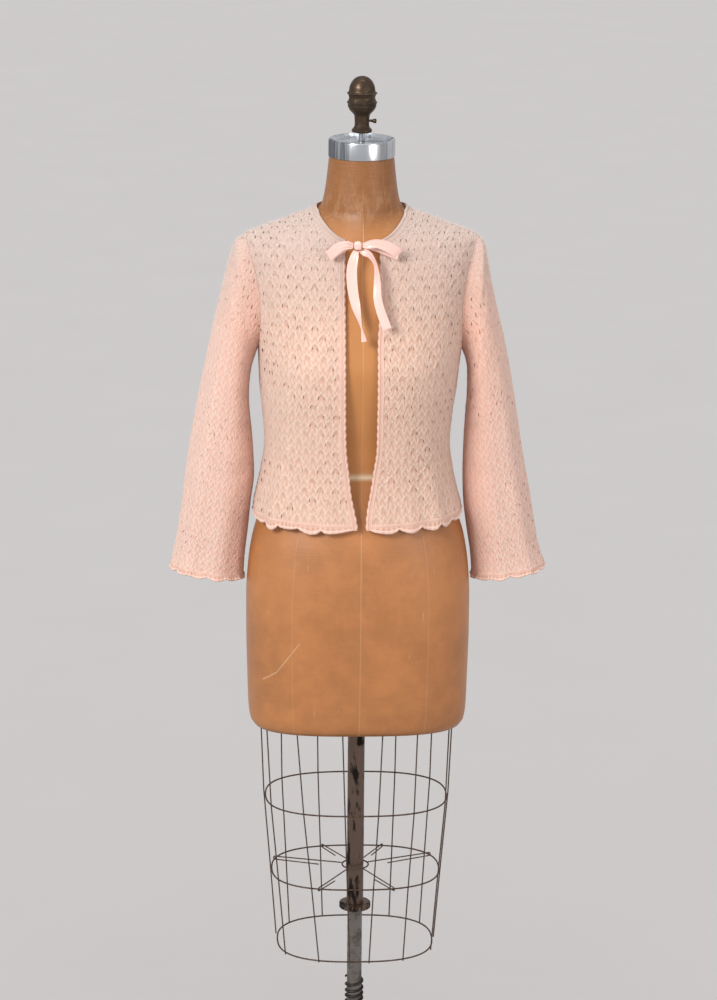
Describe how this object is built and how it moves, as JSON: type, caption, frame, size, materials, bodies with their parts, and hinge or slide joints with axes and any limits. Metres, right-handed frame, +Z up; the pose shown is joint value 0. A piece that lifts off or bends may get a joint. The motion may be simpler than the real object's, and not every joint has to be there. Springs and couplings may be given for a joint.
{
  "type": "lace-knit bed jacket on a dress form with a pole stand",
  "caption": "Short lace-knit bed jacket with flared sleeves, open front and a satin ribbon bow, worn by a canvas dress form on a wire cage and an adjustable pole stand.",
  "frame": {"origin": "centre of the round base's underside, on the floor and on the pole's axis", "axes": "+Z up along the pole, +X to the wearer's left, -Y the way the wearer faces"},
  "size_m": [0.5672, 0.38, 1.5825],
  "materials": {
    "lace_knit": "matte",
    "sleeve_knit": "matte",
    "edging_knit": "matte",
    "satin": "satin",
    "canvas": "matte",
    "polished_steel": "polished",
    "aged_brass": "satin",
    "rusty_wire": "matte",
    "worn_tube": "satin",
    "grey_steel": "satin",
    "cast_iron": "matte"
  },
  "bodies": {
    "stand": {"base": "cast_iron", "lower_rod": "grey_steel", "spring": "grey_steel"},
    "height_collar": {"collar": "worn_tube"},
    "form": {"back": "lace_knit", "front_left": "lace_knit", "front_right": "lace_knit", "sleeve_left": "sleeve_knit", "sleeve_right": "sleeve_knit", "neck_edging": "edging_knit", "front_edging_left": "edging_knit", "front_edging_right": "edging_knit", "hem_edging": "edging_knit", "cuff_edging_left": "edging_knit", "cuff_edging_right": "edging_knit", "bow_knot": "satin", "bow_loop_left": "satin", "bow_loop_right": "satin", "bow_tail_left": "satin", "bow_tail_right": "satin", "ribbon_lead_left": "satin", "ribbon_lead_right": "satin", "form_torso": "canvas", "neck_cap": "polished_steel", "cap_stem": "polished_steel", "finial": "aged_brass", "set_screw": "aged_brass", "cage_ring_top": "rusty_wire", "cage_ring_middle": "rusty_wire", "cage_ring_bottom": "rusty_wire", "cage_upright_01": "rusty_wire", "cage_upright_02": "rusty_wire", "cage_upright_03": "rusty_wire", "cage_upright_04": "rusty_wire", "cage_upright_05": "rusty_wire", "cage_upright_06": "rusty_wire", "cage_upright_07": "rusty_wire", "cage_upright_08": "rusty_wire", "cage_upright_09": "rusty_wire", "cage_upright_10": "rusty_wire", "cage_upright_11": "rusty_wire", "cage_upright_12": "rusty_wire", "cage_hub": "rusty_wire", "cage_arm_1": "rusty_wire", "cage_arm_2": "rusty_wire", "cage_arm_3": "rusty_wire", "cage_arm_4": "rusty_wire", "cage_arm_5": "rusty_wire", "cage_arm_6": "rusty_wire", "upper_tube": "worn_tube"}
  },
  "joints": [
    {"name": "height_slide", "type": "slide", "parent": "stand", "child": "height_collar", "axis": [0, 0, 1], "range_m": [-0.11, 0.14]},
    {"name": "form_swivel", "type": "hinge", "parent": "height_collar", "child": "form", "pos_m": [0, 0, 0.298], "axis": [0, 0, 1], "continuous": true}
  ]
}
